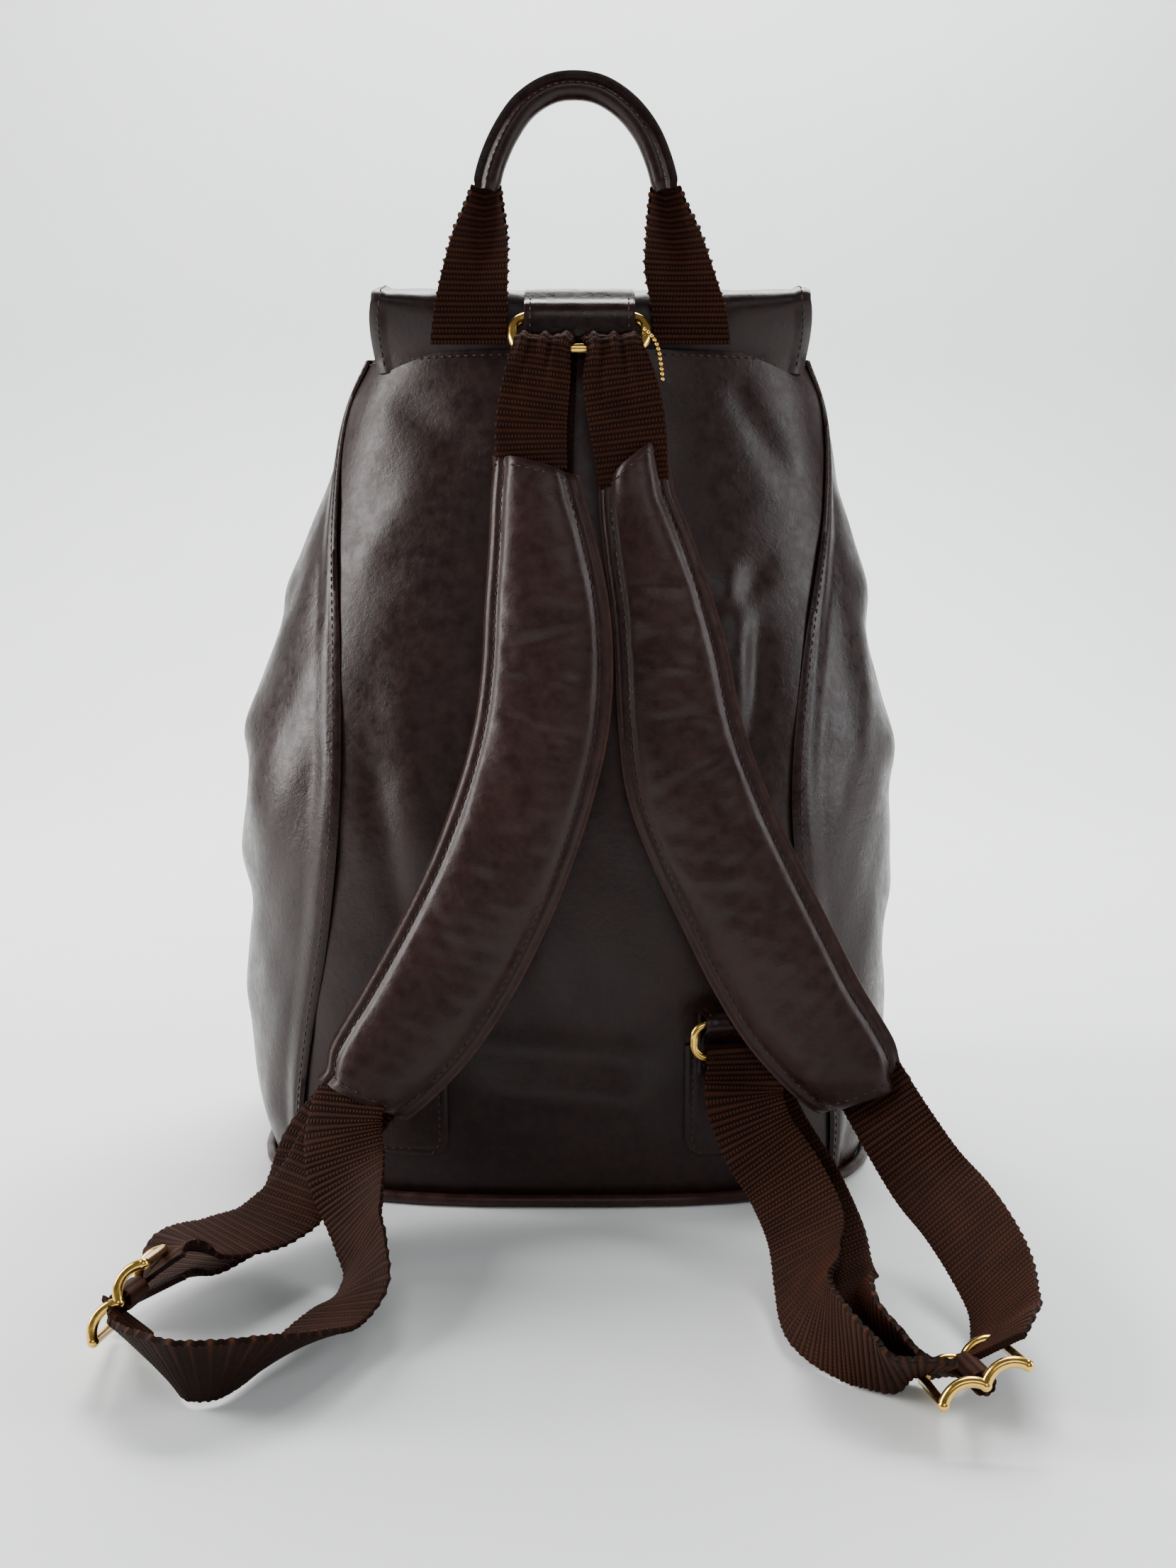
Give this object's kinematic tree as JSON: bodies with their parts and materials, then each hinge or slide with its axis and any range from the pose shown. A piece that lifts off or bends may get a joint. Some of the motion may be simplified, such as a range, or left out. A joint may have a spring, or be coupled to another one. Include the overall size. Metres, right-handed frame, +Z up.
{
  "type": "leather backpack",
  "caption": "Soft dark leather backpack with folding flap, rolled top handle, padded straps on a shared brass ring, and webbing adjusters with brass sliders.",
  "frame": {"origin": "centre of the base's underside, on the floor", "axes": "+Z up, -Y towards the wearer's back (the strap side), +Y towards the flap's front, +X to the right seen from the strap side"},
  "size_m": [0.2785, 0.36, 0.4052],
  "materials": {
    "leather": "smooth dark brown leather with a satin sheen",
    "leather_trim": "dark brown leather, folded and stitched",
    "leather_welt": "brown leather piping round the base",
    "lining": "woven lining cloth",
    "board": "stiffening board",
    "webbing": "ribbed brown nylon webbing",
    "foam": "soft foam core",
    "cord": "rope core of the handle",
    "brass": "polished yellow brass"
  },
  "bodies": {
    "bag": {"base_panel": "leather_trim", "base_board": "board", "base_welt": "leather_welt", "back_panel": "leather", "front_panel": "leather", "gusset_left": "leather", "gusset_right": "leather", "seam_back_left": "leather_trim", "seam_back_right": "leather_trim", "seam_front_left": "leather_trim", "seam_front_right": "leather_trim", "mouth_eyelets": "brass", "flap_back": "leather", "snap_socket": "brass", "ring_tab": "leather_trim", "left_lower_webbing": "webbing", "left_adjuster_webbing": "webbing", "left_adjuster_return": "webbing", "left_ring_loop": "leather_trim", "left_patch": "leather", "right_lower_webbing": "webbing", "right_adjuster_webbing": "webbing", "right_adjuster_return": "webbing", "right_ring_loop": "leather_trim", "right_patch": "leather", "ball_chain": "brass"},
    "flap": {"flap": "leather", "flap_lining": "lining", "strap_tongue": "leather_trim", "buckle_frame": "brass", "strap_keeper": "leather_trim", "snap_stud": "brass"},
    "prong": {"buckle_prong": "brass"},
    "handle": {"handle_webbing_left": "webbing", "handle_webbing_right": "webbing", "handle_grip": "leather", "handle_core": "cord"},
    "ring": {"upper_ring": "brass"},
    "left_strap": {"left_upper_webbing": "webbing", "left_pad_front": "leather", "left_pad_foam": "foam", "left_pad_back": "leather_trim"},
    "right_strap": {"right_upper_webbing": "webbing", "right_pad_front": "leather", "right_pad_foam": "foam", "right_pad_back": "leather_trim"},
    "left_slide": {"left_slider": "brass", "left_slider_wrap": "webbing"},
    "right_slide": {"right_slider": "brass", "right_slider_wrap": "webbing"},
    "left_ring": {"left_lower_ring": "brass"},
    "right_ring": {"right_lower_ring": "brass"}
  },
  "joints": [
    {"name": "flap_open", "type": "hinge", "parent": "bag", "child": "flap", "pos_m": [0.009, -0.052, 0.3343], "axis": [1, 0, 0], "range_deg": [0, 80]},
    {"name": "prong_lift", "type": "hinge", "parent": "flap", "child": "prong", "pos_m": [0.0056, 0.10118, 0.14701], "axis": [-1, 0, 0], "range_deg": [0, 60]},
    {"name": "handle_fold", "type": "hinge", "parent": "bag", "child": "handle", "pos_m": [0.005, -0.0634, 0.3122], "axis": [1, 0, 0], "range_deg": [0, 80]},
    {"name": "upper_ring_swing", "type": "hinge", "parent": "bag", "child": "ring", "pos_m": [0.005, -0.0695, 0.321], "axis": [1, 0, 0], "range_deg": [-4, 4]},
    {"name": "left_strap_swing", "type": "hinge", "parent": "bag", "child": "left_strap", "pos_m": [0.005, -0.07799, 0.309], "axis": [-1, 0, 0], "range_deg": [0, 35]},
    {"name": "right_strap_swing", "type": "hinge", "parent": "bag", "child": "right_strap", "pos_m": [0.005, -0.07799, 0.309], "axis": [-1, 0, 0], "range_deg": [0, 35]},
    {"name": "left_slider_travel", "type": "slide", "parent": "bag", "child": "left_slide", "axis": [0.5192, 0.3066, 0.7978], "range_m": [-0.003, 0.002]},
    {"name": "right_slider_travel", "type": "slide", "parent": "bag", "child": "right_slide", "axis": [0.9072, 0.0825, 0.4124], "range_m": [-0.003, 0.003]},
    {"name": "left_ring_swing", "type": "hinge", "parent": "bag", "child": "left_ring", "pos_m": [-0.062, -0.1045, 0.0733], "axis": [0.9781, -0.2079, 0], "range_deg": [-6, 6]},
    {"name": "right_ring_swing", "type": "hinge", "parent": "bag", "child": "right_ring", "pos_m": [0.062, -0.1045, 0.0733], "axis": [0.9781, 0.2079, 0], "range_deg": [-6, 6]}
  ]
}
